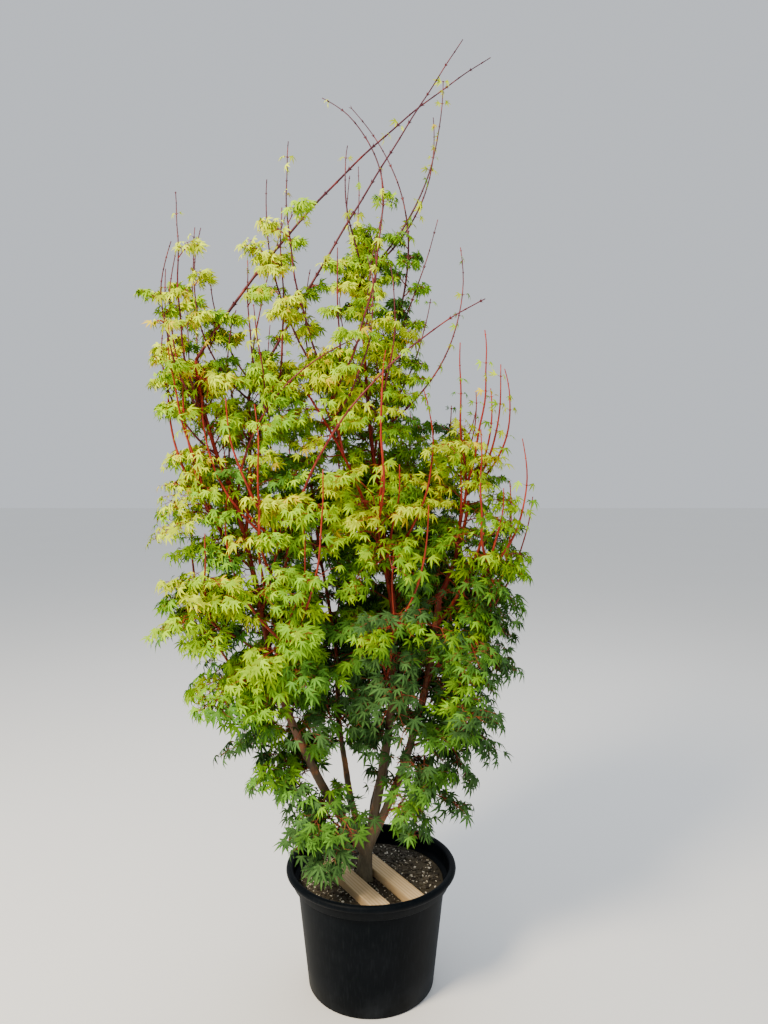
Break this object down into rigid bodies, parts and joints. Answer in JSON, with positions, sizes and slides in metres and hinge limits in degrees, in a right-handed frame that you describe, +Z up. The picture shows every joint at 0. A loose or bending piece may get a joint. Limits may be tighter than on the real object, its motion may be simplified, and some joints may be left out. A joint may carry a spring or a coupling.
{
  "type": "potted japanese maple",
  "caption": "Young multi-stemmed coral-bark maple with bright lime foliage and long red whips, standing in a round black plastic pot with two timber battens on the compost.",
  "frame": {"origin": "centre of the pot's flat underside", "axes": "+Z up along the pot's axis; -Y towards the side that the picture shows; +X to the right of that side"},
  "size_m": [1.0829, 0.7369, 2.7214],
  "materials": {
    "pot": "satin moulded black polypropylene",
    "compost": "moist composted bark with pale grit",
    "batten": "sawn softwood",
    "bark_trunk": "grey-brown bark",
    "bark_stem": "smooth tan bark",
    "bark_coral": "smooth coral-red bark",
    "bark_whip": "smooth dark red young wood",
    "foliage_shade": "mid green leaves",
    "foliage_middle": "fresh green leaves",
    "foliage_sunlit": "lime leaves",
    "foliage_young": "yellow-lime young leaves with bronze tints"
  },
  "bodies": {
    "root": {"pot": "pot", "compost": "compost", "batten_left": "batten", "batten_right": "batten", "trunk": "bark_trunk", "left_bough": "bark_stem", "centre_stem": "bark_stem", "right_stem": "bark_stem", "middle_stem": "bark_stem", "rear_stem": "bark_stem", "left_outer": "bark_coral", "left_low": "bark_coral", "left_tip": "bark_coral", "left_inner": "bark_coral", "middle_top": "bark_coral", "rear_top": "bark_coral", "rear_right": "bark_coral", "upper_centre": "bark_coral", "upper_back": "bark_coral", "upper_front": "bark_coral", "right_fork": "bark_coral", "right_top": "bark_coral", "whip_long_left": "bark_whip", "whip_long_inner": "bark_whip", "whip_cross_low": "bark_whip", "whip_cross_high": "bark_whip", "whip_crown_left": "bark_whip", "whip_crown_right": "bark_whip", "whip_side_right": "bark_whip", "whip_upright_left": "bark_whip", "foliage_skirt_front": "foliage_shade", "foliage_skirt_left": "foliage_shade", "foliage_skirt_middle": "foliage_shade", "foliage_skirt_right": "foliage_shade", "foliage_side_right_low": "foliage_shade", "foliage_left_low": "foliage_middle", "foliage_left_bright": "foliage_sunlit", "foliage_left_front": "foliage_sunlit", "foliage_centre_front": "foliage_shade", "foliage_right_low": "foliage_middle", "foliage_right_middle": "foliage_middle", "foliage_rear_left": "foliage_shade", "foliage_rear_middle": "foliage_shade", "foliage_rear_right": "foliage_middle", "foliage_left_outer": "foliage_sunlit", "foliage_left_inner": "foliage_sunlit", "foliage_centre_high": "foliage_sunlit", "foliage_right_high": "foliage_sunlit", "foliage_rear_left_high": "foliage_middle", "foliage_rear_middle_high": "foliage_middle", "foliage_rear_right_high": "foliage_middle", "foliage_top_left": "foliage_young", "foliage_top_inner": "foliage_sunlit", "foliage_top_front": "foliage_young", "foliage_column_low": "foliage_sunlit", "foliage_column_top": "foliage_young"}
  },
  "joints": []
}
